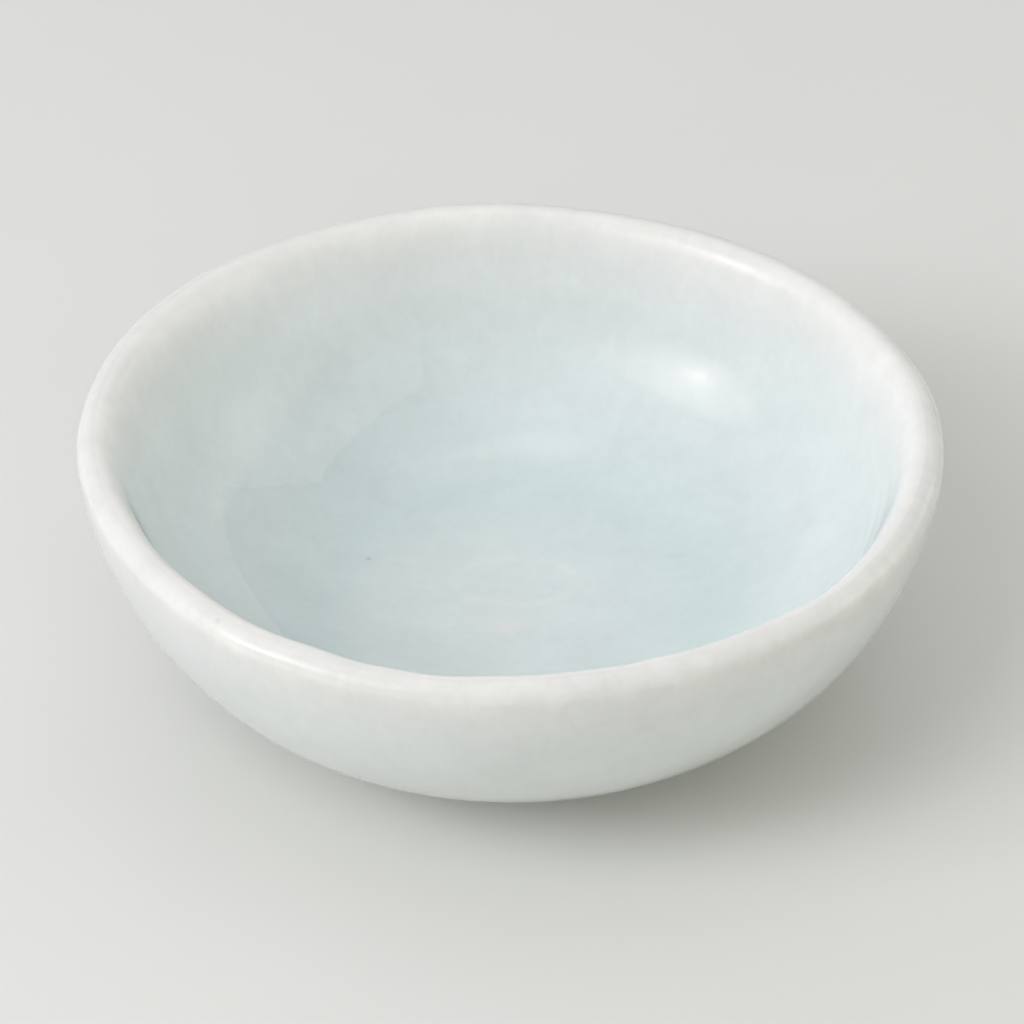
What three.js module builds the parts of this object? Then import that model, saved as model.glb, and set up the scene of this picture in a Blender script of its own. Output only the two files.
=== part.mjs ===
// Small glazed porcelain dip bowl, shaped by hand, standing on a luted foot ring.
//
// Frame: millimetres, +Z up. The origin is the centre of the foot ring's tread, on the table.
// Each piece is drawn as a section of radius and height, turned about the upright axis, and then
// given the waver of a hand-made rim, which dies away towards the foot.

import * as THREE from 'three';

// Driving dimensions, over the glaze
const RIM_DIAMETER = 86;
const BOWL_HEIGHT = 31;
const LIP_THICKNESS = 3.6;

// Clay bowl
const UNDERSIDE_HEIGHT = 2.9; // clay underside above the table
const UNDERSIDE_FLAT_DIAMETER = 25; // level disc in the middle of the underside
const BELLY_REACH = 25.6; // handle of the outside curve where it leaves the level disc
const SHOULDER_DROP = 3.6; // handle of the outside curve where it hangs upright from the lip
const FLOOR_THICKNESS = 4.6;
const FLOOR_DISH_DEPTH = 0.8; // the inside floor is this much deeper in the middle
const FLOOR_DISH_DIAMETER = 46;

// Foot ring
const FOOT_DIAMETER = 38; // outside, at the table
const FOOT_THICKNESS = 3.4; // at the table
const FOOT_DRAFT = 0.5; // each side face spreads by this much from the table to the bowl
const TREAD_EDGE_RADIUS = 0.6;
const BARE_BAND = 1.2; // height of the wiped, unglazed clay above the table

// Glaze coats
const LIP_COAT = 0.25; // drained thin over the crest of the lip
const INSIDE_COAT = 0.6;
const POOL_COAT = 1.3; // the inside coat where it has gathered on the floor
const POOL_RISE = 9; // how far up the inside wall the gathering starts
const OUTSIDE_COAT = 0.35;
const WELL_COAT = 0.35;
const DRAINED_BAND = 5; // depth below the crest over which a coat grows to its full thickness
const GLAZE_FILLET = 0.8; // glaze that fills the corner between the bowl and the foot ring

// Waver of the rim: lobes around the bowl, how far they reach, and the bearing of the first one
const OUTWARD_WAVER = [
  { lobes: 2, reach: 0.65, bearing: -11 },
  { lobes: 3, reach: 0.11, bearing: -52 },
  { lobes: 5, reach: 0.11, bearing: 32 },
  { lobes: 8, reach: 0.09, bearing: 7 },
];
const UPWARD_WAVER = [
  { lobes: 2, reach: 0.58, bearing: -31 },
  { lobes: 3, reach: 0.15, bearing: 59 },
];
const UPWARD_FADE = 1.5; // power by which the upward waver fades faster than the outward one

// Facets
const TURN_STEPS = 56;
const BELLY_STEPS = 10;
const FLOOR_STEPS = 3;
const SEAT_STEPS = 2;
const HALF_LIP_STEPS = 3;
const EDGE_STEPS = 2;
const FILLET_STEPS = 3;

// Derived sizes
const rimRadius = RIM_DIAMETER / 2 - LIP_COAT;
const lipRadius = LIP_THICKNESS / 2 - LIP_COAT;
const lipCentreRadius = rimRadius - lipRadius;
const lipCentreHeight = BOWL_HEIGHT - LIP_THICKNESS / 2;
const crestHeight = lipCentreHeight + lipRadius;
const flatRadius = UNDERSIDE_FLAT_DIAMETER / 2;
const footOuterRadius = FOOT_DIAMETER / 2;
const footInnerRadius = footOuterRadius - FOOT_THICKNESS;
const floorHeight = UNDERSIDE_HEIGHT + FLOOR_THICKNESS - FLOOR_DISH_DEPTH;

const mix = (a, b, share) => a + (b - a) * share;
const clamp = (x) => Math.min(Math.max(x, 0), 1);
const ease = (x) => clamp(x) ** 2 * (3 - 2 * clamp(x));
const spread = (from, to, steps) => Array.from({ length: steps + 1 }, (_, i) => mix(from, to, i / steps));
const backwards = (list) => [...list].reverse();

// A section point has a radius, a height and the direction that faces out of the clay there
const point = (r, z, nr = 0, nz = 0) => ({ r, z, nr, nz });
const lift = (p, by) => point(p.r + p.nr * by, p.z + p.nz * by, p.nr, p.nz);

// The outside of the clay: one curve from the level underside, out and up to the lip
const outsideCurve = new THREE.CubicBezierCurve(
  new THREE.Vector2(flatRadius, UNDERSIDE_HEIGHT),
  new THREE.Vector2(flatRadius + BELLY_REACH, UNDERSIDE_HEIGHT),
  new THREE.Vector2(rimRadius, lipCentreHeight - SHOULDER_DROP),
  new THREE.Vector2(rimRadius, lipCentreHeight),
);

// A station runs from -1 on the axis, over 0 at the edge of the level disc, to 1 at the lip
function outsideAt(station) {
  if (station <= 0) return point(flatRadius * (1 + station), UNDERSIDE_HEIGHT, 0, -1);
  const place = outsideCurve.getPoint(station);
  const along = outsideCurve.getTangent(station);
  return point(place.x, place.y, along.y, -along.x);
}

// The station at which the outside has a given radius, found by halving
function stationAtRadius(radius) {
  let low = -1;
  let high = 1;
  for (let i = 0; i < 50; i += 1) {
    const middle = (low + high) / 2;
    if (outsideAt(middle).r < radius) low = middle;
    else high = middle;
  }
  return low;
}

// The inside of the clay: the outside moved in by the wall, which thickens towards the floor
function insideAt(station) {
  const outside = outsideAt(station);
  const wall = mix(FLOOR_THICKNESS, 2 * lipRadius, clamp(station));
  const dishShare = clamp((2 * outside.r) / FLOOR_DISH_DIAMETER);
  const dish = (FLOOR_DISH_DEPTH * (1 + Math.cos(Math.PI * dishShare))) / 2;
  const inside = lift(outside, -wall);
  return point(inside.r, inside.z - dish, -outside.nr, -outside.nz);
}

// The lip: a half round, from 0 at the outside wall, over a half at the crest, to 1 inside
function lipAt(share) {
  const nr = Math.cos(Math.PI * share);
  const nz = Math.sin(Math.PI * share);
  return point(lipCentreRadius + lipRadius * nr, lipCentreHeight + lipRadius * nz, nr, nz);
}

// The stretches of the clay bowl's section, in order from the underside round to the inside floor
const seatInner = stationAtRadius(footInnerRadius - FOOT_DRAFT);
const seatOuter = stationAtRadius(footOuterRadius + FOOT_DRAFT);
const well = spread(-1, seatInner, FLOOR_STEPS).map(outsideAt);
const seat = spread(seatInner, seatOuter, SEAT_STEPS).map(outsideAt);
const belly = spread(seatOuter, 1, BELLY_STEPS).map(outsideAt);
const outerLip = spread(0, 0.5, HALF_LIP_STEPS).map(lipAt);
const innerLip = spread(0.5, 1, HALF_LIP_STEPS).map(lipAt);
const basin = spread(1, 0, BELLY_STEPS).map(insideAt);
const floor = spread(0, -1, FLOOR_STEPS).map(insideAt);

// Stretches joined end to end, each one's first point being the last of the one before
const joined = (...stretches) => stretches.flatMap((stretch, i) => (i ? stretch.slice(1) : stretch));

// Thickness of each coat at a point of the clay
const drained = (p) => ease((p.z - crestHeight + DRAINED_BAND) / DRAINED_BAND);
const gathered = (p) => ease((floorHeight + POOL_RISE - p.z) / POOL_RISE);
const outsideCoat = (p) => mix(OUTSIDE_COAT, LIP_COAT, drained(p));
const insideCoat = (p) => mix(mix(INSIDE_COAT, POOL_COAT, gathered(p)), LIP_COAT, drained(p));

// The foot ring's side faces run straight from the table to the edges of its seat on the bowl
const footSides = {
  outer: { away: 1, bottomRadius: footOuterRadius, top: seat[SEAT_STEPS] },
  inner: { away: -1, bottomRadius: footInnerRadius, top: seat[0] },
};

function footFace(side, z) {
  const r = mix(side.bottomRadius, side.top.r, z / side.top.z);
  return point(r, z, side.away, 0);
}

// A round edge on a side of the foot ring, bulging away from a centre, from below to beside it
function roundEdge(side, centreRadius, centreHeight, radius) {
  return spread(-Math.PI / 2, 0, EDGE_STEPS).map((turn) => {
    return point(centreRadius + side.away * radius * Math.cos(turn), centreHeight + radius * Math.sin(turn));
  });
}

// The surface of a coat over a side of the foot ring, from its rolled edge above the bare band
// up to the fillet that carries it on to the bowl
function footCoat(side, coat) {
  const start = footFace(side, BARE_BAND);
  const rolledEdge = roundEdge(side, start.r, start.z + coat, coat);
  const room = side.top.z - BARE_BAND - coat; // upright face between the rolled edge and the bowl
  const filletFoot = lift(footFace(side, side.top.z - Math.min(GLAZE_FILLET, room)), coat);
  const filletStation = stationAtRadius(side.top.r + side.away * GLAZE_FILLET);
  const filletTop = lift(outsideAt(filletStation), coat);
  const fillet = new THREE.QuadraticBezierCurve(
    new THREE.Vector2(filletFoot.r, filletFoot.z),
    new THREE.Vector2(filletFoot.r, filletTop.z),
    new THREE.Vector2(filletTop.r, filletTop.z),
  );
  const filletPoints = fillet.getPoints(FILLET_STEPS).map(({ x, y }) => point(x, y));
  return [...rolledEdge.slice(1), ...filletPoints];
}

// How far the waver pushes at a bearing, in millimetres at the rim
function push(waver, turn) {
  const pushes = waver.map(({ lobes, reach, bearing }) => {
    return reach * Math.cos(lobes * (turn - THREE.MathUtils.degToRad(bearing)));
  });
  return pushes.reduce((sum, one) => sum + one);
}

function addWaver(geometry) {
  const place = geometry.getAttribute('position');
  for (let i = 0; i < place.count; i += 1) {
    const x = place.getX(i);
    const y = place.getY(i);
    const z = place.getZ(i);
    const turn = Math.atan2(y, x);
    const share = clamp((z - UNDERSIDE_HEIGHT) / (BOWL_HEIGHT - UNDERSIDE_HEIGHT));
    const outward = (share * push(OUTWARD_WAVER, turn)) / rimRadius;
    const upward = (share ** UPWARD_FADE * push(UPWARD_WAVER, turn)) / rimRadius;
    place.setXYZ(i, x * (1 + outward), y * (1 + outward), z + Math.hypot(x, y) * upward);
  }
}

// Triangles between the section's copies, with each four-sided facet split from its higher end on
// one copy to its lower end on the next. Pieces that share a stretch of section, in whichever
// order, then share its facets too and lie on each other exactly.
function facets(section) {
  const isHigher = (p, q) => p.z > q.z || (p.z === q.z && p.r > q.r);
  const triangles = [];
  for (let copy = 0; copy < TURN_STEPS; copy += 1) {
    for (let i = 0; i < section.length - 1; i += 1) {
      const a = copy * section.length + i;
      const b = a + section.length;
      const c = b + 1;
      const d = a + 1;
      if (isHigher(section[i], section[i + 1])) triangles.push(a, b, d, c, d, b);
      else triangles.push(a, b, c, a, c, d);
    }
  }
  return triangles;
}

// A closed section turned about the upright axis
function turned(section) {
  const profile = section.map((p) => new THREE.Vector2(p.r, p.z));
  const geometry = new THREE.LatheGeometry(profile, TURN_STEPS);
  geometry.setIndex(facets(section));
  geometry.rotateX(Math.PI / 2);
  addWaver(geometry);
  geometry.computeVertexNormals();
  return geometry;
}

// Clay bowl: underside, belly, lip, inside wall and dished floor
const clayBowl = () => turned(joined(well, seat, belly, outerLip, innerLip, basin, floor));

// Foot ring: a tread with rounded edges, and side faces that spread up to the seat on the bowl
function footRing() {
  const { outer, inner } = footSides;
  const radius = TREAD_EDGE_RADIUS;
  const outerEdge = roundEdge(outer, footFace(outer, radius).r - radius, radius, radius);
  const innerEdge = roundEdge(inner, footFace(inner, radius).r + radius, radius, radius);
  return turned([
    ...backwards(innerEdge),
    ...outerEdge,
    footFace(outer, BARE_BAND),
    ...backwards(seat),
    footFace(inner, BARE_BAND),
    innerEdge[EDGE_STEPS],
  ]);
}

// Inside glaze: poured in, thin on the crest, gathered on the floor
function insideGlaze() {
  const clay = joined(innerLip, basin, floor);
  const surface = clay.map((p) => lift(p, insideCoat(p)));
  return turned([...backwards(clay), ...surface]);
}

// Outside glaze: from the bare band of the foot ring, up the belly to the crest
function outsideGlaze() {
  const clay = [footFace(footSides.outer, BARE_BAND), ...joined(belly, outerLip)];
  const foot = footCoat(footSides.outer, OUTSIDE_COAT);
  const wall = clay.filter((p) => p.r > footSides.outer.top.r + GLAZE_FILLET);
  const surface = [...foot, ...wall.map((p) => lift(p, outsideCoat(p)))];
  return turned([...surface, ...backwards(clay), surface[0]]);
}

// Foot well glaze: over the underside within the ring, and down to the ring's bare band
function footWellGlaze() {
  const clay = [...well, footFace(footSides.inner, BARE_BAND)];
  const roof = well.filter((p) => p.r < footSides.inner.top.r - GLAZE_FILLET);
  const foot = footCoat(footSides.inner, WELL_COAT);
  const surface = [...roof.map((p) => lift(p, WELL_COAT)), ...backwards(foot)];
  return turned([...surface, ...backwards(clay)]);
}

const coated = (color, roughness) => new THREE.MeshStandardMaterial({ color, roughness, metalness: 0 });

const bowl = new THREE.Group();
function addPiece(name, geometry, material) {
  const piece = new THREE.Mesh(geometry, material);
  piece.name = name;
  bowl.add(piece);
}

addPiece('clay_bowl', clayBowl(), coated(0xe9e6df, 0.7));
addPiece('foot_ring', footRing(), coated(0xe0d9cc, 0.85));
addPiece('inside_glaze', insideGlaze(), coated(0xcfdcde, 0.1));
addPiece('outside_glaze', outsideGlaze(), coated(0xcbd0ca, 0.15));
addPiece('foot_well_glaze', footWellGlaze(), coated(0xd3d8d3, 0.15));

export default bowl;
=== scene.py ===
# %% [markdown]
# # A small glazed dip bowl
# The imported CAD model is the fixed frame: it says where every part is, in metres, with +Z up and
# the middle of the foot's tread at the origin. Its solids have few facets and plain colours.
# This lesson pulls a finer piece over each of them, and then gives each its glaze or its bare
# clay.

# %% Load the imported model
import math
from collections import namedtuple

import bpy
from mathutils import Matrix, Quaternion, Vector, noise


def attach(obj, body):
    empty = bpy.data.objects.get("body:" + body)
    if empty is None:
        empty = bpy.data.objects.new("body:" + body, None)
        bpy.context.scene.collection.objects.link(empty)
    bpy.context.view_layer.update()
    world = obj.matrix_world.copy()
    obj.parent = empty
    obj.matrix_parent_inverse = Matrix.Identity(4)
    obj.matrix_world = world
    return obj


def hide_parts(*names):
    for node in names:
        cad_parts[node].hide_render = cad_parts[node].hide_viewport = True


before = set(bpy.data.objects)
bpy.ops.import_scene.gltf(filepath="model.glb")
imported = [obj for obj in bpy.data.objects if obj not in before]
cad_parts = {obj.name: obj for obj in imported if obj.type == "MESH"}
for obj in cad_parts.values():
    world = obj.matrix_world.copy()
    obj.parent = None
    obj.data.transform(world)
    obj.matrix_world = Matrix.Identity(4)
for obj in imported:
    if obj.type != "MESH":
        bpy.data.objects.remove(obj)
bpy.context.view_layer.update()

# %% [markdown]
# ## The camera
# The bowl is seen from about 36 degrees above through a long lens, so its far and near rims have
# nearly the same curve. The picture is square. A camera that looks along +Y and is only tipped
# down keeps the bowl's upright direction upright in the picture. A short lens close by would
# make the near rim look much rounder than the far one.

# %% Place the camera
MM = 0.001
CAMERA_PLACE = (0.0, -628.75, 482.46)  # in millimetres
CAMERA_TIP = 53.72  # degrees from looking straight down
FOCAL_LENGTH = 270.53  # on a sensor 36 mm wide
SENSOR_WIDTH = 36.0

camera_data = bpy.data.cameras.new("camera")
camera_data.lens = FOCAL_LENGTH
camera_data.sensor_width = SENSOR_WIDTH
camera = bpy.data.objects.new("camera", camera_data)
camera.location = Vector(CAMERA_PLACE) * MM
camera.rotation_euler = (math.radians(CAMERA_TIP), 0, 0)
bpy.context.scene.collection.objects.link(camera)
bpy.context.scene.camera = camera
print("camera distance to the bowl:", round(camera.location.length, 3), "m")

# %% [markdown]
# ## The section of the bowl
# A potter judges a bowl by its section: one line from the underside out and up the belly, a half
# round over the lip, and the inside wall back down to the floor. The same sizes made the CAD
# model. Here the line has more points. A sphere cut in half and thickened would be quicker, but
# its wall would be even, its lip square and its floor as round as a ball.
#
# Each point of the section has a radius, a height, and the direction that faces out of the clay.

# %% Sizes of the clay, in millimetres
RIM_DIAMETER = 86
BOWL_HEIGHT = 31
LIP_THICKNESS = 3.6
UNDERSIDE_HEIGHT = 2.9
UNDERSIDE_FLAT_DIAMETER = 25
BELLY_REACH = 25.6
SHOULDER_DROP = 3.6
FLOOR_THICKNESS = 4.6
FLOOR_DISH_DEPTH = 0.8
FLOOR_DISH_DIAMETER = 46
LIP_COAT = 0.25

rim_radius = RIM_DIAMETER / 2 - LIP_COAT
lip_radius = LIP_THICKNESS / 2 - LIP_COAT
lip_centre_radius = rim_radius - lip_radius
lip_centre_height = BOWL_HEIGHT - LIP_THICKNESS / 2
crest_height = lip_centre_height + lip_radius
flat_radius = UNDERSIDE_FLAT_DIAMETER / 2
floor_height = UNDERSIDE_HEIGHT + FLOOR_THICKNESS - FLOOR_DISH_DEPTH
print("clay crest", crest_height, "mm high, clay floor", round(floor_height, 2), "mm high")

# %% Small helpers for the section
Point = namedtuple("Point", "r z nr nz", defaults=(0.0, 0.0))


def mix(a, b, share):
    return a + (b - a) * share


def clamp(x):
    return min(max(x, 0.0), 1.0)


def ease(x):
    return clamp(x) ** 2 * (3 - 2 * clamp(x))


def spread(start, end, steps):
    return [mix(start, end, i / steps) for i in range(steps + 1)]


def lift(p, by):
    return Point(p.r + p.nr * by, p.z + p.nz * by, p.nr, p.nz)


def joined(*stretches):
    """Stretches end to end, each one's first point being the last of the one before."""
    return [p for i, stretch in enumerate(stretches) for p in stretch[min(i, 1):]]


# %% The outside, the inside and the lip of the clay
def curve_point(handles, t):
    """A place on a curve through handles, and its direction, by halving the handles away."""
    points = [Vector(h) for h in handles]
    while len(points) > 2:
        points = [a.lerp(b, t) for a, b in zip(points, points[1:])]
    return points[0].lerp(points[1], t), (points[1] - points[0]).normalized()


OUTSIDE_HANDLES = [
    (flat_radius, UNDERSIDE_HEIGHT),
    (flat_radius + BELLY_REACH, UNDERSIDE_HEIGHT),
    (rim_radius, lip_centre_height - SHOULDER_DROP),
    (rim_radius, lip_centre_height),
]


def outside_at(station):
    """Station -1 is on the axis, 0 at the edge of the level disc and 1 at the lip."""
    if station <= 0:
        return Point(flat_radius * (1 + station), UNDERSIDE_HEIGHT, 0.0, -1.0)
    place, along = curve_point(OUTSIDE_HANDLES, station)
    return Point(place.x, place.y, along.y, -along.x)


def inside_at(station):
    """The outside moved in by the wall, which thickens towards the dished floor."""
    outside = outside_at(station)
    inside = lift(outside, -mix(FLOOR_THICKNESS, 2 * lip_radius, clamp(station)))
    dish_share = clamp(2 * outside.r / FLOOR_DISH_DIAMETER)
    dish = FLOOR_DISH_DEPTH * (1 + math.cos(math.pi * dish_share)) / 2
    return Point(inside.r, inside.z - dish, -outside.nr, -outside.nz)


def lip_at(turn):
    """Turn 0 is the outside wall, 90 degrees the crest and 180 the inside wall."""
    nr, nz = math.cos(math.radians(turn)), math.sin(math.radians(turn))
    return Point(lip_centre_radius + lip_radius * nr, lip_centre_height + lip_radius * nz, nr, nz)


HALVINGS = 50


def station_at_radius(radius):
    """The station where the outside has this radius, by halving the stretch that holds it."""
    low, high = -1.0, 1.0
    for _ in range(HALVINGS):
        middle = (low + high) / 2
        low, high = (middle, high) if outside_at(middle).r < radius else (low, middle)
    return low


print("the belly is widest at", round(max(outside_at(s).r for s in spread(0, 1, 20)), 2), "mm")

# %% [markdown]
# ## Stretches of the section
# The pieces share stretches of this line, so that each coat lies on its clay without a gap. The
# coats of the inside and the outside meet on the crest. Steps that shrink towards the crest keep
# the smooth shading of the two coats alike there, and no seam shows.

# %% Cut the section into stretches
FOOT_DIAMETER = 38
FOOT_THICKNESS = 3.4
FOOT_DRAFT = 0.5
WELL_STEPS = 10
SEAT_STEPS = 5
BELLY_STEPS = 60
FLOOR_STEPS = 14
LIP_STEPS = 20
CREST_STEPS = (0.5, 1.0, 2.0, 4.0)  # degrees, out from the crest

foot_outer_radius = FOOT_DIAMETER / 2
foot_inner_radius = foot_outer_radius - FOOT_THICKNESS
seat_inner = station_at_radius(foot_inner_radius - FOOT_DRAFT)
seat_outer = station_at_radius(foot_outer_radius + FOOT_DRAFT)
near_crest = [sum(CREST_STEPS[:i]) for i in range(len(CREST_STEPS))]
from_crest = near_crest + spread(sum(CREST_STEPS), 90, LIP_STEPS)

well = [outside_at(s) for s in spread(-1, seat_inner, WELL_STEPS)]
seat = [outside_at(s) for s in spread(seat_inner, seat_outer, SEAT_STEPS)]
belly = [outside_at(s) for s in spread(seat_outer, 1, BELLY_STEPS)]
outer_lip = [lip_at(90 - turn) for turn in reversed(from_crest)]
inner_lip = [lip_at(90 + turn) for turn in from_crest]
basin = [inside_at(s) for s in spread(1, 0, BELLY_STEPS)]
floor = [inside_at(s) for s in spread(0, -1, FLOOR_STEPS)]
print("the foot ring's seat is", round(seat[-1].r - seat[0].r, 2), "mm wide")

# %% [markdown]
# ## Pulling a piece up, ring by ring
# A potter's wall rises ring by ring. In Blender a circle is added at the first ring, its edge is
# extruded to the next height and scaled to the next radius, and so on along the section.
# Spinning a drawn section gives the same shape. Pulling rings leaves every vertex on an exact
# ring, and the shell closes by itself: on the axis a ring shrinks to a point, and elsewhere the
# last ring lands on the first. Merging the doubles then closes it, and the faces are turned
# outwards after that.

# %% A helper that pulls a closed shell up from its section
TURN_STEPS = 320
SAME_PLACE = 0.001 * MM  # vertices nearer than this are one vertex


def pull_up(name, section):
    bpy.ops.object.select_all(action="DESELECT")
    starts_on_axis = section[0].r < SAME_PLACE
    rings = section[1:] if starts_on_axis else section
    bpy.ops.mesh.primitive_circle_add(
        vertices=TURN_STEPS,
        radius=rings[0].r * MM,
        location=(0, 0, rings[0].z * MM),
        fill_type="TRIFAN" if starts_on_axis else "NOTHING",
    )
    piece = bpy.context.object
    piece.name = piece.data.name = name
    bpy.ops.object.transform_apply(location=True)
    bpy.ops.object.mode_set(mode="EDIT")
    bpy.ops.mesh.select_mode(type="EDGE")
    bpy.ops.mesh.select_all(action="SELECT")
    if starts_on_axis:
        bpy.ops.mesh.region_to_loop()
    for ring, above in zip(rings, rings[1:]):
        rise = (0, 0, (above.z - ring.z) * MM)
        widen = above.r / ring.r
        bpy.ops.mesh.extrude_edges_move(TRANSFORM_OT_translate={"value": rise})
        bpy.ops.transform.resize(value=(widen, widen, 1), center_override=(0, 0, 0))
    bpy.ops.mesh.select_all(action="SELECT")
    bpy.ops.mesh.remove_doubles(threshold=SAME_PLACE)
    bpy.ops.mesh.normals_make_consistent(inside=False)
    bpy.ops.object.mode_set(mode="OBJECT")
    print(name, "has", len(piece.data.vertices), "vertices and", len(piece.data.polygons), "faces")
    return piece


# %% [markdown]
# ## The clay bowl
# White porcelain with a wall of about 3 to 4.6 mm, drawn as one closed line from the middle of
# the underside, over the lip, to the middle of the floor. The glaze hides it, yet it is a real
# piece of the bowl, and a coat needs something to lie on.

# %% Pull up the clay bowl
clay = pull_up("thrown_clay", joined(well, seat, belly, outer_lip, inner_lip, basin, floor))

# %% [markdown]
# ## The foot ring
# A separate ring of clay is luted under the bowl. Its tread is flat, with small rounded edges
# from the sponge that wiped it, and its two side faces spread a little towards the bowl. It could
# be extruded from the underside, but as a piece of its own it keeps its own bare finish.

# %% Pull up the foot ring
TREAD_EDGE_RADIUS = 0.6
BARE_BAND = 1.2
EDGE_STEPS = 6
Side = namedtuple("Side", "away bottom_radius top")
OUTER_SIDE = Side(1, foot_outer_radius, seat[-1])
INNER_SIDE = Side(-1, foot_inner_radius, seat[0])


def foot_face(side, z):
    return Point(mix(side.bottom_radius, side.top.r, z / side.top.z), z, side.away, 0.0)


def round_edge(side, centre_radius, centre_height, radius):
    """A quarter round that bulges away from a centre, from below it to beside it."""
    turns = [math.radians(turn) for turn in spread(-90, 0, EDGE_STEPS)]
    return [
        Point(
            centre_radius + side.away * radius * math.cos(turn),
            centre_height + radius * math.sin(turn),
        )
        for turn in turns
    ]


def tread_edge(side):
    centre = foot_face(side, TREAD_EDGE_RADIUS).r - side.away * TREAD_EDGE_RADIUS
    return round_edge(side, centre, TREAD_EDGE_RADIUS, TREAD_EDGE_RADIUS)


inner_edge, outer_edge = tread_edge(INNER_SIDE), tread_edge(OUTER_SIDE)
foot_section = [
    *reversed(inner_edge), *outer_edge, foot_face(OUTER_SIDE, BARE_BAND),
    *reversed(seat), foot_face(INNER_SIDE, BARE_BAND), inner_edge[-1],
]
foot = pull_up("luted_foot", foot_section)

# %% [markdown]
# ## The glaze coats
# Glaze is glass that ran while it was hot. It left the crest of the lip, where 0.25 mm stays,
# and gathered on the floor, where it is 1.3 mm deep. Lifting each point of the clay along its
# own normal by a thickness that depends on height gives such a coat. A Solidify modifier would
# give an even one.

# %% How thick each coat is at a point of the clay
INSIDE_COAT = 0.6
POOL_COAT = 1.3
POOL_RISE = 9
OUTSIDE_COAT = 0.35
WELL_COAT = 0.35
DRAINED_BAND = 5


def drained(p):
    return ease((p.z - crest_height + DRAINED_BAND) / DRAINED_BAND)


def gathered(p):
    return ease((floor_height + POOL_RISE - p.z) / POOL_RISE)


def outside_coat(p):
    return mix(OUTSIDE_COAT, LIP_COAT, drained(p))


def inside_coat(p):
    return mix(mix(INSIDE_COAT, POOL_COAT, gathered(p)), LIP_COAT, drained(p))


print("glaze on the floor:", round(inside_coat(floor[-1]), 2), "mm")

# %% [markdown]
# ## The soft turn inside the lip
# Seen from above, the white of the lip runs far down the inside wall without a crease. Glaze
# hangs in a soft roll there, up to 0.4 mm thicker than elsewhere. So the surface leaves the half
# round of the lip early and reaches the wall late, along one curve through four handles.

# %% Pull up the inside glaze
ROLL_START = 0.35  # millimetres below the crest
ROLL_END = 13.0
ROLL_HANDLES = (2.2, 5.6)  # millimetres from each end of the curve to its own handle
ROLL_STEPS = 26


def softly_turned(surface):
    """The surface with one soft curve in place of the stretch below the lip."""
    top = surface[0].z
    start = next(i for i, p in enumerate(surface) if p.z < top - ROLL_START)
    end = next(i for i, p in enumerate(surface) if p.z < top - ROLL_END)
    ends = []
    for i in (start, end):
        before, after = surface[i - 1], surface[i + 1]
        way = Vector((after.r - before.r, after.z - before.z)).normalized()
        ends.append((Vector(surface[i][:2]), way))
    (high, high_way), (low, low_way) = ends
    handles = [high, high + high_way * ROLL_HANDLES[0], low - low_way * ROLL_HANDLES[1], low]
    turn = [Point(*curve_point(handles, t)[0]) for t in spread(0, 1, ROLL_STEPS)]
    return [*surface[:start], *turn, *surface[end + 1:]]


inside_clay = joined(inner_lip, basin, floor)
inside_surface = softly_turned([lift(p, inside_coat(p)) for p in inside_clay])
inside_glaze = pull_up("basin_glaze", [*reversed(inside_clay), *inside_surface])

# %% [markdown]
# ## The coats around the foot
# The foot was wiped before firing, so the glaze stops in a rolled edge above a bare band, and it
# fills the corner between the ring and the bowl with a small fillet. A Bevel modifier could round
# both, but would also round the edges next to them. Drawn into the section, each keeps its size.

# %% Pull up the outside glaze and the glaze of the foot well
GLAZE_FILLET = 0.8
FILLET_STEPS = 8


def foot_coat(side, coat):
    start = foot_face(side, BARE_BAND)
    rolled_edge = round_edge(side, start.r, start.z + coat, coat)
    room = side.top.z - BARE_BAND - coat
    fillet_foot = lift(foot_face(side, side.top.z - min(GLAZE_FILLET, room)), coat)
    fillet_top = lift(outside_at(station_at_radius(side.top.r + side.away * GLAZE_FILLET)), coat)
    corner = (fillet_foot.r, fillet_top.z)
    handles = [(fillet_foot.r, fillet_foot.z), corner, (fillet_top.r, fillet_top.z)]
    fillet = [Point(*curve_point(handles, t)[0]) for t in spread(0, 1, FILLET_STEPS)]
    return [*rolled_edge[1:], *fillet]


belly_clay = [foot_face(OUTER_SIDE, BARE_BAND), *joined(belly, outer_lip)]
belly_beyond = [p for p in belly_clay if p.r > OUTER_SIDE.top.r + GLAZE_FILLET]
belly_coat = [lift(p, outside_coat(p)) for p in belly_beyond]
belly_surface = [*foot_coat(OUTER_SIDE, OUTSIDE_COAT), *belly_coat]
outside_glaze = pull_up("belly_glaze", [*belly_surface, *reversed(belly_clay), belly_surface[0]])

well_clay = [*well, foot_face(INNER_SIDE, BARE_BAND)]
well_roof = [lift(p, WELL_COAT) for p in well if p.r < INNER_SIDE.top.r - GLAZE_FILLET]
well_surface = [*well_roof, *reversed(foot_coat(INNER_SIDE, WELL_COAT))]
well_glaze = pull_up("well_glaze", [*well_surface, *reversed(well_clay)])

# %% [markdown]
# ## How deep below the crest each vertex is
# The colour of this glaze depends on how far it ran. Before the rim gets its waver, each vertex
# stores its depth below the crest in an attribute, and the materials read it. Height alone would
# not do, because the finished rim rises and falls.

# %% Store the depth below the crest, in millimetres
coats = [inside_glaze, outside_glaze, well_glaze]
pieces = [clay, foot, *coats]
glaze_crest = crest_height + LIP_COAT
for piece in pieces:
    depth = piece.data.attributes.new("below_crest", "FLOAT", "POINT")
    depth.data.foreach_set("value", [glaze_crest - v.co.z / MM for v in piece.data.vertices])
print("the crest of the glaze is", glaze_crest, "mm high before the waver")

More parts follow.
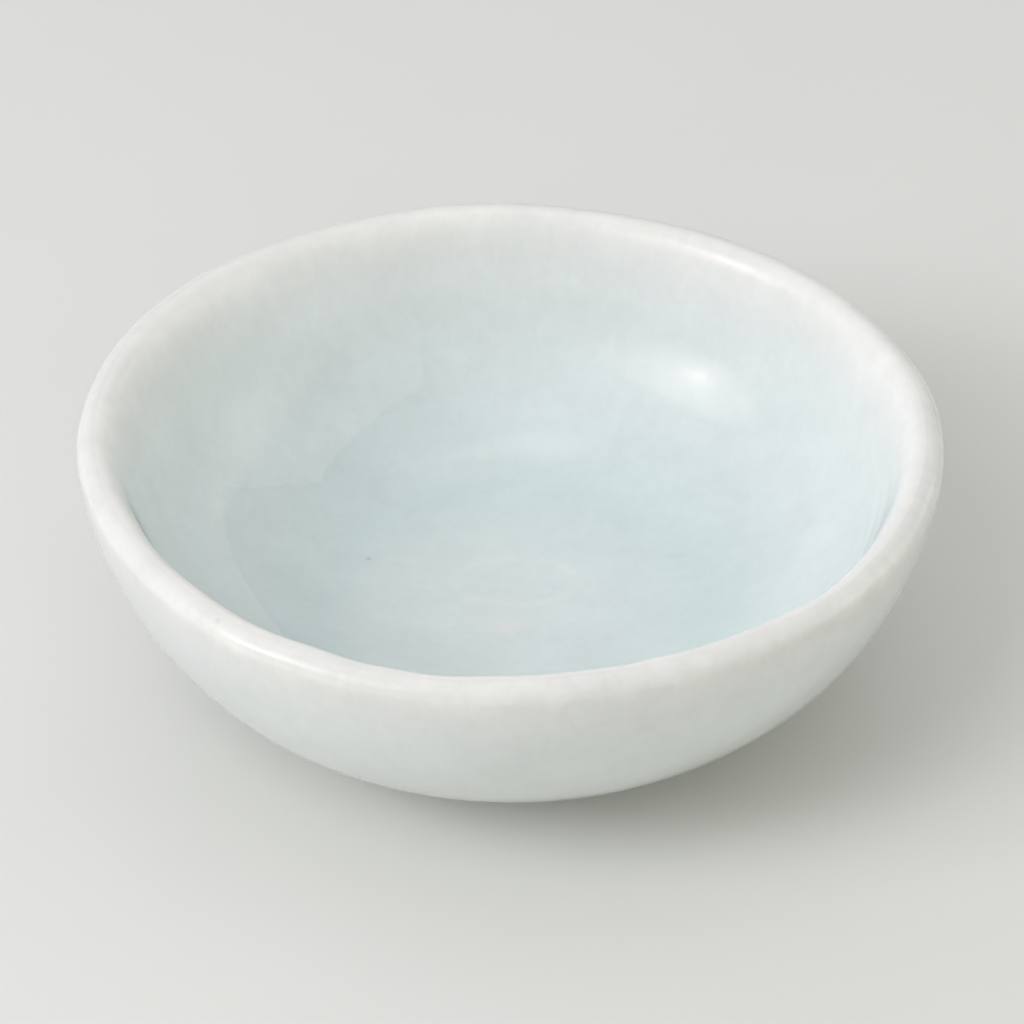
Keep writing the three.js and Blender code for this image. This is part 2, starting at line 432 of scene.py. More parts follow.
# %% [markdown]
# ## Dents and lumps of the lip
# Fingers pressed this lip. In some places it is a little thicker, in others lower or pushed in,
# by a few tenths of a millimetre, and between these it is softly lumpy. Such a list of dents can
# be read off the outline. Sculpting by hand would do as well, but it could not be repeated. Each
# dent is full on the crest and fades sideways and downwards. All pieces follow, so the coats
# stay on the clay.

# %% Press the dents into every piece
Dent = namedtuple("Dent", "bearing span rise inner_side outer_side")
LIP_DENTS = [  # two angles in degrees, then millimetres up, inwards and outwards
    Dent(-20, 10, 0.02, 0.10, 0.06),
    Dent(-41, 9, -0.12, -0.20, -0.04),
    Dent(-62, 6, -0.13, -0.05, 0.00),
    Dent(-74, 3, -0.09, -0.05, 0.00),
    Dent(-100, 6, -0.20, -0.16, 0.05),
    Dent(-111, 4, -0.10, -0.05, 0.00),
    Dent(-120, 6, 0.10, 0.04, 0.00),
    Dent(-151, 7, -0.05, -0.18, -0.10),
    Dent(-165, 9, 0.02, -0.03, -0.08),
    Dent(7, 8, 0.00, 0.00, 0.14),
    Dent(28, 9, -0.06, 0.00, 0.02),
    Dent(94, 8, 0.08, 0.05, 0.04),
    Dent(119, 15, -0.14, -0.06, -0.05),
    Dent(160, 12, 0.06, 0.00, 0.03),
]
DENT_REACH = 8.0  # millimetres below the crest where a dent has died away
LUMP_SIZE = 7.0
LUMP_HEIGHT = 0.09
LUMP_SEED = 1  # without a seed the lumps would be others in each run


def dented(place):
    radius, bearing = math.hypot(place.x, place.y), math.degrees(math.atan2(place.y, place.x))
    near_lip = ease((place.z - crest_height + DENT_REACH) / DENT_REACH)
    inner = ease((lip_centre_radius - radius) / (2 * lip_radius) + 0.5)
    up, out = 0.0, 0.0
    for dent in LIP_DENTS:
        sideways = (bearing - dent.bearing + 180) % 360 - 180
        share = near_lip * math.exp(-((sideways / dent.span) ** 2))
        up += share * dent.rise
        out += share * mix(dent.outer_side, -dent.inner_side, inner)
    lump = noise.noise_vector(place / LUMP_SIZE) * LUMP_HEIGHT * near_lip
    widen = 1 + out / max(radius, lip_radius)
    return Vector((place.x * widen, place.y * widen, place.z + up)) + lump


noise.seed_set(LUMP_SEED)
for piece in pieces:
    for vertex in piece.data.vertices:
        vertex.co = dented(vertex.co / MM) * MM
print("pressed", len(LIP_DENTS), "dents")

# %% [markdown]
# ## The waver of a hand-made rim
# The rim is not a true circle, and it rises and falls. Two, three, five and eight lobes around
# the bowl describe it, each full at the rim and fading to nothing at the foot, so that the bowl
# still stands level. A lattice could bend the rim too, but one rule for the vertices of every
# piece keeps the pieces on each other.

# %% Give every piece the waver
Lobes = namedtuple("Lobes", "count reach bearing")
OUTWARD_WAVER = [Lobes(2, 0.65, -11), Lobes(3, 0.11, -52), Lobes(5, 0.11, 32), Lobes(8, 0.09, 7)]
UPWARD_WAVER = [Lobes(2, 0.58, -31), Lobes(3, 0.15, 59)]
UPWARD_FADE = 1.5  # a power: the rise dies away faster than the height does


def push(waver, turn):
    return sum(w.reach * math.cos(w.count * (turn - math.radians(w.bearing))) for w in waver)


def wavered(place):
    x, y, z = place
    turn = math.atan2(y, x)
    share = clamp((z - UNDERSIDE_HEIGHT) / (BOWL_HEIGHT - UNDERSIDE_HEIGHT))
    outward = 1 + share * push(OUTWARD_WAVER, turn) / rim_radius
    upward = share ** UPWARD_FADE * push(UPWARD_WAVER, turn) / rim_radius
    return Vector((x * outward, y * outward, z + math.hypot(x, y) * upward))


for piece in pieces:
    for vertex in piece.data.vertices:
        vertex.co = wavered(vertex.co / MM) * MM
    piece.data.update()
print("the rim now rises and falls by", round(2 * UPWARD_WAVER[0].reach, 2), "mm")

# %% [markdown]
# ## The glaze lies unevenly
# Molten glaze is never quite level. It swells and sinks by a few hundredths of a millimetre over
# the breadth of a finger, and high on the right wall it froze in a few low ripples as it ran
# down. A bump in the material could show this, but a real change of the surface also bends what
# it mirrors. Only the free surface moves, along its own normal. The side that lies on the clay
# stays.

# %% Let the free surfaces of the coats swell
SWELL_SIZE = 6.0
SWELL_HEIGHT = 0.03
SWELL_START = 2.0  # millimetres below the crest
FREE_FACING = 0.3  # a vertex is free where its normal points this much away from the clay
RIPPLE_BEARING = 4  # degrees
RIPPLE_SPAN = 24
RIPPLE_TOP = 3.0  # millimetres below the crest
RIPPLE_BOTTOM = 14.0
RIPPLE_GAP = 2.4
RIPPLE_HEIGHT = 0.03
FREE_SIDES = ((inside_glaze, -1), (outside_glaze, 1))


def rippled(place, depth):
    sideways = math.degrees(math.atan2(place.y, place.x)) - RIPPLE_BEARING
    across = math.exp(-((sideways / RIPPLE_SPAN) ** 2))
    along = clamp((depth - RIPPLE_TOP) / (RIPPLE_BOTTOM - RIPPLE_TOP))
    bend = noise.noise(place / SWELL_SIZE)
    wave = math.sin(2 * math.pi * (depth / RIPPLE_GAP + bend))
    return across * math.sin(math.pi * along) * wave


for piece, side in FREE_SIDES:
    depths = piece.data.attributes["below_crest"].data
    moves = []
    for vertex, depth in zip(piece.data.vertices, depths):
        place, normal = vertex.co / MM, vertex.normal
        away = Vector((place.x, place.y, 0)).normalized() * side
        away.z = -side
        is_free = normal.dot(away) > FREE_FACING
        free = ease((depth.value - SWELL_START) / SWELL_START) if is_free else 0.0
        swell = noise.noise(place / SWELL_SIZE) * SWELL_HEIGHT
        if piece == inside_glaze:
            swell += rippled(place, depth.value) * RIPPLE_HEIGHT
        moves.append(normal * swell * free * MM)
    for vertex, move in zip(piece.data.vertices, moves):
        vertex.co += move
    piece.data.update()
print("the glaze swells by", SWELL_HEIGHT, "mm, and ripples by", RIPPLE_HEIGHT, "mm")

# %% [markdown]
# ## The line across the left wall
# This basin was glazed in two pours, and the first one ended in a faint, frayed line across the
# left wall. Its shade is partly painted shade as well: it also draws the edge of a reflection on
# this wall. The colour is a shade deeper just past the line. Each vertex stores its distance
# from the line as seen from above, with a sign for the side, and the material draws the shade
# from that. Distance changes evenly from vertex to vertex, so the drawn line is finer than the
# mesh.

# %% Store the distance from the edge of the pour, in millimetres
POUR_EDGE = [  # plan places in millimetres, from the front, round the corner and up the back wall
    (-22.5, -8.0), (-25.4, -2.9), (-27.2, 0.4), (-28.6, 3.5), (-29.4, 7.2), (-29.8, 11.8),
    (-27.0, 13.8), (-24.5, 15.4), (-21.9, 16.6), (-19.9, 18.0), (-17.9, 22.1), (-14.3, 26.4),
    (-11.7, 28.6), (-9.1, 30.3), (-9.4, 31.9), (-9.9, 34.5),
]


def past_edge(x, y):
    """Positive towards the middle of the basin, negative towards the left wall."""
    nearest, side = math.inf, 1.0
    for (ax, ay), (bx, by) in zip(POUR_EDGE, POUR_EDGE[1:]):
        dx, dy = bx - ax, by - ay
        along = clamp(((x - ax) * dx + (y - ay) * dy) / (dx * dx + dy * dy))
        away = math.hypot(x - ax - along * dx, y - ay - along * dy)
        if away < nearest:
            nearest, side = away, math.copysign(1.0, (y - ay) * dx - (x - ax) * dy)
    return -nearest * side


distances = [past_edge(v.co.x / MM, v.co.y / MM) for v in inside_glaze.data.vertices]
edge = inside_glaze.data.attributes.new("past_edge", "FLOAT", "POINT")
edge.data.foreach_set("value", distances)
print("the middle of the floor is", round(past_edge(0, 0), 1), "mm past the edge of the pour")

# %% [markdown]
# ## Smooth shading
# A glazed surface has no facets. More faces would hide them as well, but smooth shading does it
# for nothing, and edges that turn by more than the angle stay crisp: the ends of the coats, and
# nothing else.

# %% Shade every piece smooth
CRISP_ANGLE = 50
for piece in pieces:
    bpy.ops.object.select_all(action="DESELECT")
    piece.select_set(True)
    bpy.context.view_layer.objects.active = piece
    bpy.ops.object.shade_smooth_by_angle(angle=math.radians(CRISP_ANGLE))
print("shaded", len(pieces), "pieces")

# %% [markdown]
# ## Helpers for materials
# A material is a chain of nodes. These helpers add a node, set its sockets by name and join it
# to others. Patterns are measured in millimetres: a Mapping node scales Object coordinates,
# which are metres.

# %% Node helpers
def set_inputs(node, values):
    for socket, value in values.items():
        node.inputs[socket].default_value = value


class Finish:
    """A material under construction."""

    def __init__(self, name):
        self.material = bpy.data.materials.new(name)
        self.material.use_nodes = True
        self.tree = self.material.node_tree
        self.shader = self.tree.nodes["Principled BSDF"]
        coordinates = self.add("TexCoord")
        scale = self.add("Mapping", {"Scale": (1 / MM,) * 3})
        self.join(coordinates.outputs["Object"], scale.inputs["Vector"])
        self.place = scale.outputs["Vector"]

    def add(self, kind, values=None, **settings):
        node = self.tree.nodes.new("ShaderNode" + kind)
        for key, value in settings.items():
            setattr(node, key, value)
        set_inputs(node, values or {})
        return node

    def join(self, output, socket):
        self.tree.links.new(output, socket)

    def math(self, operation, a, b, c=None, clamped=False):
        """A Math node of two or three sockets or numbers."""
        node = self.add("Math", operation=operation, use_clamp=clamped)
        for i, value in enumerate(v for v in (a, b, c) if v is not None):
            if isinstance(value, (int, float)):
                node.inputs[i].default_value = value
            else:
                self.join(value, node.inputs[i])
        return node.outputs[0]

    def noise(self, size, detail=2.0, roughness=0.5, stretch=(1, 1, 1), distortion=0.0):
        """Noise from 0 to 1 whose patches are about size millimetres, stretched per direction."""
        mapping = self.add("Mapping", {"Scale": tuple(1 / s for s in stretch)})
        node = self.add("TexNoise", {
            "Scale": 1 / size, "Detail": detail, "Roughness": roughness, "Distortion": distortion,
        })
        self.join(self.place, mapping.inputs["Vector"])
        self.join(mapping.outputs["Vector"], node.inputs["Vector"])
        return node.outputs["Fac"]

    def ramp(self, value, stops):
        """Colours along a value; each stop is its place and its colour."""
        node = self.add("ValToRGB")
        elements = node.color_ramp.elements
        while len(elements) < len(stops):
            elements.new(0.5)
        for element, (place, colour) in zip(elements, stops):
            element.position = place
            element.color = (*colour, 1)
        self.join(value, node.inputs["Fac"])
        return node.outputs["Color"]

    def blend(self, share, a, b, kind="MIX"):
        """Colour b over colour a by a share; each is a socket or a colour."""
        node = self.add("Mix", data_type="RGBA", blend_type=kind)
        for value, socket in ((share, node.inputs[0]), (a, node.inputs[6]), (b, node.inputs[7])):
            if isinstance(value, bpy.types.NodeSocket):
                self.join(value, socket)
            else:
                socket.default_value = value if isinstance(value, (int, float)) else (*value, 1)
        return node.outputs[2]

    def grey(self, value):
        """A number as a grey colour."""
        node = self.add("CombineColor")
        for socket in node.inputs:
            self.join(value, socket)
        return node.outputs["Color"]

    def shade(self, mask, factor):
        """Multiplies the finish's colour by a factor where the mask is 1."""
        shaded = self.blend(1.0, self.colour, factor, kind="MULTIPLY")
        self.colour = self.blend(mask, self.colour, shaded)

    def distance_to(self, place):
        """Millimetres from a place."""
        node = self.add("VectorMath", operation="DISTANCE")
        self.join(self.place, node.inputs[0])
        node.inputs[1].default_value = place
        return node.outputs["Value"]

    def distance(self, oval):
        """How far out from the middle of an oval, seen from above, with 1 on its line."""
        moved = self.add("VectorMath", operation="SUBTRACT")
        self.join(self.place, moved.inputs[0])
        moved.inputs[1].default_value = (oval.x, oval.y, 0)
        scaled = self.add("VectorMath", operation="MULTIPLY")
        self.join(moved.outputs["Vector"], scaled.inputs[0])
        scaled.inputs[1].default_value = (1 / oval.half_width, 1 / oval.half_depth, 0)
        length = self.add("VectorMath", operation="LENGTH")
        self.join(scaled.outputs["Vector"], length.inputs[0])
        return length.outputs["Value"]

    def bump(self, height, depth, under=None):
        """A bump whose full height is depth millimetres."""
        node = self.add("Bump", {"Distance": depth * MM})
        self.join(height, node.inputs["Height"])
        if under is not None:
            self.join(under, node.inputs["Normal"])
        return node.outputs["Normal"]


# %% [markdown]
# ## The glaze
# Pale celadon: near white where it is thin over the lip, blue-green where it is deep, and
# deepest in a ring round the floor. The border at the lip is soft and mottled, because the glaze
# crept as it melted, and faint brush-like clouds run all through it. The surface is glass, with
# a sharp gloss over a softer one that comes from the fine bubbles below. That is a Principled
# shader with a coat. Colour comes from the depth below the crest, pushed up and down by noise
# near the lip. Tinted glass over white clay would be truer, but it is slow and grainy to render.

# %% Sizes and colours of the glaze
DEPTH_RANGE = 24.0  # millimetres below the crest that the colour ramp covers
MOTTLE_SIZE = 2.6
MOTTLE_PUSH = 6.5
CLOUD_SIZE = 9.0
CLOUD_PUSH = 2.5
PUSH_FADE = 13.0  # millimetres below the crest where the push has died away
VEIL_SIZE = 1.5
VEIL_STRETCH = (1.0, 1.0, 1.6)
VEIL_STRENGTH = 0.12
BRUSH_SIZE = 6.0
BRUSH_STRETCH = (1.4, 1.0, 1.0)
PEEL_SIZE = 0.9
PEEL_DEPTH = 0.006
DIMPLE_SIZE = 2.6
DIMPLE_DEPTH = 0.010

BASIN_COLOURS = [  # millimetres below the crest, and the colour there
    (0.0, (0.741, 0.736, 0.718)),
    (2.5, (0.699, 0.703, 0.688)),
    (4.6, (0.673, 0.693, 0.685)),
    (7.2, (0.672, 0.709, 0.703)),
    (12.0, (0.660, 0.717, 0.713)),
    (17.5, (0.657, 0.729, 0.730)),
    (20.2, (0.624, 0.718, 0.716)),
    (21.7, (0.587, 0.698, 0.696)),
    (22.7, (0.650, 0.730, 0.729)),
    (23.5, (0.715, 0.760, 0.760)),
]
# From 9 mm below the crest down towards the foot the belly grows lighter: painted light that
# stands in for light from the table and through the thin porcelain wall.
BELLY_COLOURS_AND_PAINTED_LIGHT = [
    (0.0, (0.697, 0.696, 0.679)),
    (2.5, (0.638, 0.642, 0.622)),
    (5.0, (0.635, 0.653, 0.643)),
    (9.0, (0.627, 0.664, 0.657)),
    (14.0, (0.640, 0.683, 0.675)),
    (24.0, (0.700, 0.742, 0.721)),
]


# %% A helper that mixes a glaze
def glaze(name, colours):
    finish = Finish(name)
    depth = finish.add("Attribute", attribute_name="below_crest").outputs["Fac"]
    mottle = finish.noise(MOTTLE_SIZE, detail=4, roughness=0.6)
    cloud = finish.noise(CLOUD_SIZE, detail=2)
    push = finish.math("MULTIPLY_ADD", mottle, MOTTLE_PUSH, -MOTTLE_PUSH / 2)
    cloud_push = finish.math("MULTIPLY_ADD", cloud, CLOUD_PUSH, -CLOUD_PUSH / 2)
    push = finish.math("ADD", push, cloud_push)
    fade = finish.math("MAXIMUM", finish.math("MULTIPLY_ADD", depth, -1 / PUSH_FADE, 1.0), 0.0)
    moved = finish.math("MULTIPLY_ADD", push, fade, depth)
    share = finish.math("DIVIDE", moved, DEPTH_RANGE)
    colour = finish.ramp(share, [(place / DEPTH_RANGE, shade) for place, shade in colours])
    veil = finish.noise(VEIL_SIZE, detail=3, roughness=0.65, stretch=VEIL_STRETCH, distortion=0.6)
    brush = finish.noise(BRUSH_SIZE, detail=2, stretch=BRUSH_STRETCH)
    both = finish.math("ADD", veil, brush)
    level = finish.math("MULTIPLY_ADD", both, VEIL_STRENGTH, 1 - VEIL_STRENGTH)
    colour = finish.blend(1.0, colour, finish.grey(level), kind="MULTIPLY")
    peel = finish.bump(finish.noise(PEEL_SIZE, detail=2), PEEL_DEPTH)
    skin = finish.bump(finish.noise(DIMPLE_SIZE, detail=1), DIMPLE_DEPTH, under=peel)
    finish.join(skin, finish.shader.inputs["Normal"])
    finish.join(skin, finish.shader.inputs["Coat Normal"])
    set_inputs(finish.shader, {"Roughness": 0.32, "Coat Weight": 1.0, "Coat Roughness": 0.08})
    finish.colour, finish.depth = colour, depth
    return finish


# %% Mix the three glazes
basin_finish = glaze("celadon_basin", BASIN_COLOURS)
belly_finish = glaze("celadon_belly", BELLY_COLOURS_AND_PAINTED_LIGHT)
well_finish = glaze("celadon_well", BELLY_COLOURS_AND_PAINTED_LIGHT)
glazes = [basin_finish, belly_finish, well_finish]
print("mixed", len(glazes), "glazes")

# %% [markdown]
# ## Small marks in the glaze, and painted reflections
# Each piece of this ware has its own marks. Here they are the edge of the first pour, whose shade
# is partly painted, and a few specks of iron no wider than half a millimetre. A faint oval ring
# and a pale rosy patch on the floor are painted reflections of light, not marks of the glaze.
# Each is a mask between 0 and 1 that blends a shade over the colour. They could be painted on an
# image, which blurs close up. Here the masks come from distances, in the stored attribute or in
# the place itself.

# %% Draw the edge of the pour
POUR_FRAY_SIZE = 1.6
POUR_FRAY = 1.6
POUR_FRAY_START = 11.0  # millimetres behind the axis; before it the line is smooth
POUR_FRAY_GROWTH = 4.0  # millimetres over which the fray sets in
POUR_WIDTH = 18.0  # millimetres across the ramp, half of them before the edge
POUR_STEPS = [  # places across the ramp, and the strength of the shade there
    (0.0, 0.45), (0.30, 0.35), (0.49, 0.0), (0.502, 1.0), (0.56, 0.7), (0.70, 0.35), (0.92, 0.0),
]
# The shade along the line is partly painted: it also draws where a reflection on the left wall
# ends.
POUR_LINE_AND_PAINTED_SHADE = (0.915, 0.942, 0.950)
POUR_TOP = (8.0, 20.0)  # millimetres below the crest where the line begins and where it is full


def strengths(steps, reach=1.0):
    """Stops of a mask: each place as a share of the reach, and its strength as a grey."""
    return [(place / reach, (level,) * 3) for place, level in steps]


def frayed_distance(finish):
    """Millimetres past the edge of the pour, with a ragged line at the back."""
    distance = finish.add("Attribute", attribute_name="past_edge").outputs["Fac"]
    parts = finish.add("SeparateXYZ")
    finish.join(finish.place, parts.inputs[0])
    growth, start = 1 / POUR_FRAY_GROWTH, -POUR_FRAY_START / POUR_FRAY_GROWTH
    frayed = finish.math("MULTIPLY_ADD", parts.outputs["Y"], growth, start, clamped=True)
    fray = finish.noise(POUR_FRAY_SIZE, detail=4, roughness=0.65)
    fray = finish.math("MULTIPLY_ADD", fray, POUR_FRAY, -POUR_FRAY / 2)
    return finish.math("ADD", distance, finish.math("MULTIPLY", fray, frayed))


past = frayed_distance(basin_finish)
share = basin_finish.math("MULTIPLY_ADD", past, 1 / POUR_WIDTH, 0.5)
mask = basin_finish.ramp(share, strengths(POUR_STEPS))
depth_share = basin_finish.math("DIVIDE", basin_finish.depth, DEPTH_RANGE)
begins, full = POUR_TOP
fade_in = basin_finish.ramp(depth_share, strengths([(begins, 0), (full, 1)], DEPTH_RANGE))
basin_finish.shade(basin_finish.math("MULTIPLY", mask, fade_in), POUR_LINE_AND_PAINTED_SHADE)
print("the edge of the pour begins", begins, "mm below the crest and is full at", full, "mm")

# %% Paint the reflected oval ring and the rosy reflection on the floor
Oval = namedtuple("Oval", "x y half_width half_depth")
# Both are painted reflections: a light ring and a rosy patch that lighten the floor's colour where
# light would be mirrored in its glaze.
REFLECTED_RING = Oval(0.3, 5.3, 6.5, 3.8)
REFLECTED_RING_STEPS = [(0.0, 0.25), (0.82, 0.15), (0.95, 1.0), (1.01, 1.0), (1.14, 0.0)]
REFLECTED_RING_LIGHT = (1.035, 1.025, 1.02)
ROSY_REFLECTION = Oval(-0.7, -2.2, 3.4, 1.9)
ROSY_REFLECTION_STEPS = [(0.0, 1.0), (0.35, 0.8), (0.75, 0.2), (1.0, 0.0)]
ROSY_REFLECTION_LIGHT = (1.095, 1.035, 1.03)
OVAL_REACH = 1.2  # where the ramp of an oval ends, with 1 on the oval's own line

for oval, steps, shade in ((REFLECTED_RING, REFLECTED_RING_STEPS, REFLECTED_RING_LIGHT), (ROSY_REFLECTION, ROSY_REFLECTION_STEPS, ROSY_REFLECTION_LIGHT)):
    share = basin_finish.math("DIVIDE", basin_finish.distance(oval), OVAL_REACH)
    basin_finish.shade(basin_finish.ramp(share, strengths(steps, OVAL_REACH)), shade)
print("the ring is", 2 * REFLECTED_RING.half_width, "mm wide and the patch", 2 * ROSY_REFLECTION.half_width, "mm")

# %% Scatter the specks of iron
Speck = namedtuple("Speck", "x y z strength")
SPECK_RADIUS = 0.42
SPECK_CORE = 0.3  # the share of its radius over which a speck is full
SPECK_SHADE = (0.74, 0.755, 0.75)
BASIN_SPECKS = [
    Speck(-14.8, 8.3, 8.9, 0.8), Speck(21.5, -16.0, 14.5, 0.6), Speck(8.0, -33.5, 22.0, 1.0),
]
BELLY_SPECKS = [
    Speck(-28.7, -30.4, 30.1, 0.4), Speck(30.5, 21.0, 20.0, 1.0),
    Speck(-12.0, 37.0, 18.0, 0.7), Speck(-38.0, 8.0, 20.5, 0.8),
]


def scatter(finish, specks):
    for speck in specks:
        reach = finish.distance_to((speck.x, speck.y, speck.z))
        share = finish.math("DIVIDE", reach, SPECK_RADIUS)
        mask = finish.ramp(share, strengths([(SPECK_CORE, speck.strength), (1.0, 0)]))
        finish.shade(mask, SPECK_SHADE)


scatter(basin_finish, BASIN_SPECKS)
scatter(belly_finish, BELLY_SPECKS)
for finish in glazes:
    finish.join(finish.colour, finish.shader.inputs["Base Color"])
print("drew", len(BASIN_SPECKS) + len(BELLY_SPECKS), "specks")

# %% [markdown]
# ## Bare clay
# Fired porcelain without glaze is matt and faintly warm, with a fine grain. An image of clay
# would stretch round the foot's edges. Noise that is measured in millimetres stays even there.

# %% Mix the clay finishes
CLAY_PATCH_SIZE = 2.5
GRAIN_SIZE = 0.35
GRAIN_DEPTH = 0.02


def bare_clay(name, pale, warm):
    finish = Finish(name)
    patches = finish.noise(CLAY_PATCH_SIZE, detail=4)
    colour = finish.ramp(patches, [(0.3, pale), (0.75, warm)])
    finish.join(colour, finish.shader.inputs["Base Color"])
    grain = finish.bump(finish.noise(GRAIN_SIZE, detail=3), GRAIN_DEPTH)
    finish.join(grain, finish.shader.inputs["Normal"])
    set_inputs(finish.shader, {"Roughness": 0.8})
    return finish


clay_finish = bare_clay("porcelain_clay", (0.80, 0.78, 0.73), (0.77, 0.74, 0.68))
foot_finish = bare_clay("wiped_clay", (0.74, 0.69, 0.61), (0.68, 0.60, 0.50))
print("mixed", clay_finish.material.name, "and", foot_finish.material.name)

# %% [markdown]
# ## Fixing the pieces to the frame
# Each fine piece stands for one solid of the frame. It hides that solid and rides on the frame's
# only body. Nothing on a bowl moves by itself.

# %% Put each finish on its piece, and fix the pieces to the frame
fixing = [
    (clay, clay_finish, "clay_bowl", "porcelain_clay"),
    (foot, foot_finish, "foot_ring", "bare_clay"),
    (inside_glaze, basin_finish, "inside_glaze", "inside_glaze"),
    (outside_glaze, belly_finish, "outside_glaze", "outside_glaze"),
    (well_glaze, well_finish, "foot_well_glaze", "foot_well_glaze"),
]
for piece, finish, node, slot in fixing:
    piece.data.materials.append(finish.material)
    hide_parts(node)
    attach(piece, "root")
print("pieces:", ", ".join(piece.name for piece in pieces))

# %% [markdown]
# ## The table and the light
# The bowl stands on a plain pale surface. In the photograph most light comes low from the left,
# and the glaze mirrors surroundings that are nearly even, with one small soft lamp in them. So
# the lamps are of two kinds. Broad soft sheets and three smaller lamps give the shading. They
# are hidden from mirror rays, since they would show as hard-edged panes in the glaze. Glows and
# a white card are seen by mirror rays alone: small soft glows inside each other for the lamp, a
# slim one above, and wide faint ones low behind the bowl. One set of lamps for both would be
# simpler, but then the shading and the reflections could not be set apart. Each lamp has a
# bearing and a height in degrees, a distance and a size in metres, a turn in degrees, a
# brightness, where a sheet of white paper in full light is 1, and a tint.

# %% Add the table top
TABLE_SIZE = 8.0  # metres
TABLE_PATCH_SIZE = 40  # millimetres
TABLE_COLOURS = [(0.3, (0.66, 0.66, 0.64)), (0.7, (0.67, 0.67, 0.65))]

bpy.ops.object.select_all(action="DESELECT")
bpy.ops.mesh.primitive_plane_add(size=TABLE_SIZE)
table = bpy.context.object
table.name = "table_top"
table_finish = Finish("pale_table")
tint = table_finish.ramp(table_finish.noise(TABLE_PATCH_SIZE, detail=3), TABLE_COLOURS)
table_finish.join(tint, table_finish.shader.inputs["Base Color"])
set_inputs(table_finish.shader, {"Roughness": 0.7, "Specular IOR Level": 0.0})
table.data.materials.append(table_finish.material)
print("the table is", TABLE_SIZE, "m wide")

# %% List the lamps
Lamp = namedtuple("Lamp", "name bearing rise distance width height turn brightness tint")
COOL, PLAIN, WARM = (0.96, 0.96, 1.0), (1.0, 0.99, 0.97), (1.0, 0.99, 0.92)
LEAFY, BLUISH, ROSY = (0.93, 1.0, 0.82), (0.78, 0.74, 1.0), (1.0, 0.76, 0.74)
SHEETS = [
    Lamp("sheet_left", 180, 12, 1.2, 0.9, 0.44, 0, 2.17, COOL),
    Lamp("sheet_behind_left", 135, 12, 1.2, 0.9, 0.44, 0, 2.95, COOL),
    Lamp("sheet_front", -95, 12, 1.2, 1.6, 0.44, 0, 0.67, LEAFY),
    Lamp("sheet_front_right", -40, 12, 1.2, 0.9, 0.44, 0, 0.52, LEAFY),
    Lamp("sheet_right", 0, 12, 1.2, 0.9, 0.44, 0, 2.54, WARM),
    Lamp("sheet_behind", 90, 38, 1.2, 0.9, 0.6, 0, 0.52, BLUISH),
    Lamp("sheet_above", 0, 90, 1.2, 0.8, 0.8, 0, 0.56, BLUISH),
    Lamp("lamp_left", -152, 32, 0.9, 0.36, 0.36, 0, 7.6, COOL),
    Lamp("lamp_front_left", -125, 48, 0.9, 0.3, 0.5, 0, 4.2, COOL),
    Lamp("lamp_front", -90, 40, 1.0, 0.6, 0.3, 0, 2.02, PLAIN),
]
GLOWS = [
    Lamp("glow_heart", -154, 28, 0.9, 0.13, 0.13, 0, 3.1, ROSY),
    Lamp("glow_inner", -154, 28, 0.9, 0.20, 0.19, 0, 0.9, ROSY),
    Lamp("glow_middle", -154, 28, 0.9, 0.28, 0.30, 0, 0.5, ROSY),
    Lamp("glow_outer", -153, 29, 0.9, 0.42, 0.42, 0, 0.3, ROSY),
    Lamp("glow_edge", -150, 31, 0.9, 0.95, 0.50, 0, 0.7, ROSY),
    Lamp("glow_above", 102, 79, 1.0, 0.32, 0.10, 15, 0.8, ROSY),
    Lamp("glow_above_wide", 102, 79, 1.0, 0.52, 0.22, 15, 0.5, ROSY),
    Lamp("glow_horizon", 80, 13, 1.2, 2.6, 0.80, 0, 0.25, PLAIN),
    Lamp("glow_horizon_right", 10, 13, 1.2, 1.6, 0.80, 0, 0.45, PLAIN),
    Lamp("card_right", -14, 27, 0.6, 0.72, 0.61, 0, 0.26, PLAIN),
]

# %% Add the lamps
AIM = Vector((0, 0, 0.02))


def way_towards(bearing, rise):
    """The direction of a bearing and a height, both in degrees."""
    bearing, rise = math.radians(bearing), math.radians(rise)
    level = math.cos(rise)
    return Vector((level * math.cos(bearing), level * math.sin(bearing), math.sin(rise)))


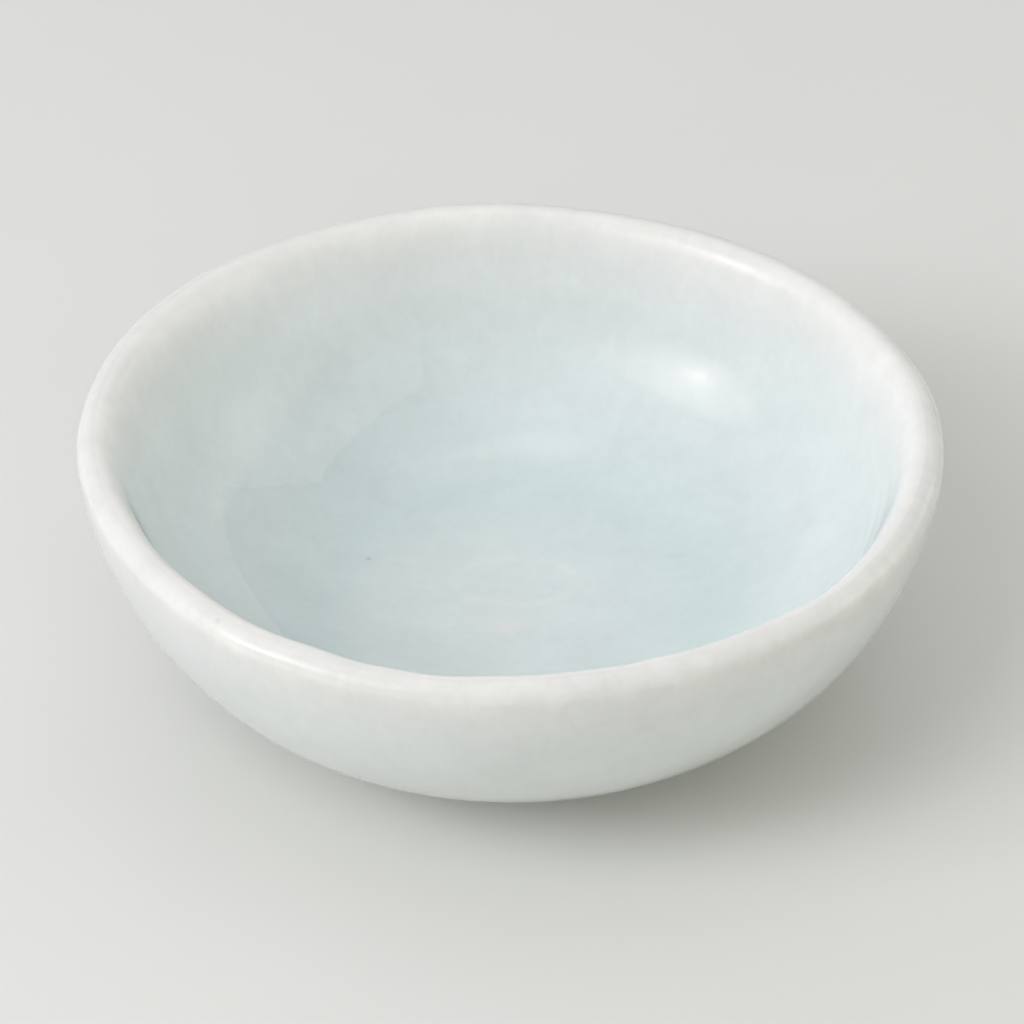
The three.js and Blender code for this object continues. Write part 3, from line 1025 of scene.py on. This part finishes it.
def add_lamp(lamp, shape, mirrored):
    light = bpy.data.lights.new(lamp.name, "AREA")
    light.shape = shape
    light.size, light.size_y = lamp.width, lamp.height
    light.color = lamp.tint
    light.energy = lamp.brightness * math.pi * lamp.width * lamp.height
    if shape == "ELLIPSE":
        light.energy *= math.pi / 4
    holder = bpy.data.objects.new(lamp.name, light)
    away = way_towards(lamp.bearing, lamp.rise)
    holder.location = AIM + away * lamp.distance
    turned = away.to_track_quat("Z", "Y") @ Quaternion((0, 0, 1), math.radians(lamp.turn))
    holder.rotation_euler = turned.to_euler()
    holder.visible_camera = False
    holder.visible_glossy = mirrored
    holder.visible_diffuse = not mirrored
    bpy.context.scene.collection.objects.link(holder)


for lamp in SHEETS:
    add_lamp(lamp, "RECTANGLE", mirrored=False)
for lamp in GLOWS:
    add_lamp(lamp, "RECTANGLE" if lamp.name.startswith("card") else "ELLIPSE", mirrored=True)
print("lamps:", ", ".join(lamp.name for lamp in SHEETS + GLOWS))

# %% [markdown]
# ## The room
# A pale room lights everything a little from all sides. It is brighter above and behind at the
# right, so its light is an even part and a wide soft lobe in that direction. A lobe is the dot
# product of two directions, raised to a power. A picture of a room could light the bowl too, but
# would need a file.

# %% Fill the room with pale light
ROOM_TINT = (1.0, 1.0, 0.93)
ROOM_BRIGHTNESS = 0.285
LOBE_BRIGHTNESS = 0.43
LOBE_BEARING = 60
LOBE_RISE = 55
LOBE_POWER = 2.0

world = bpy.data.worlds.new("room")
bpy.context.scene.world = world
world.use_nodes = True
room = world.node_tree
set_inputs(room.nodes["Background"], {"Color": (*ROOM_TINT, 1)})


def room_node(kind, operation, inputs, source=None):
    node = room.nodes.new("ShaderNode" + kind)
    node.operation = operation
    for i, value in inputs.items():
        node.inputs[i].default_value = value
    if source is not None:
        room.links.new(source, node.inputs[0])
    return node.outputs["Value"]


direction = room.nodes.new("ShaderNodeTexCoord").outputs["Generated"]
lobe_axis = way_towards(LOBE_BEARING, LOBE_RISE)
towards = room_node("VectorMath", "DOT_PRODUCT", {1: lobe_axis}, direction)
towards = room_node("Math", "MAXIMUM", {1: 0.0}, towards)
lobe = room_node("Math", "POWER", {1: LOBE_POWER}, towards)
strength = room_node("Math", "MULTIPLY_ADD", {1: LOBE_BRIGHTNESS, 2: ROOM_BRIGHTNESS}, lobe)
room.links.new(strength, room.nodes["Background"].inputs["Strength"])
print("the room's brightness goes from", ROOM_BRIGHTNESS, "to", ROOM_BRIGHTNESS + LOBE_BRIGHTNESS)
bpy.context.scene.view_settings.view_transform = "Standard"
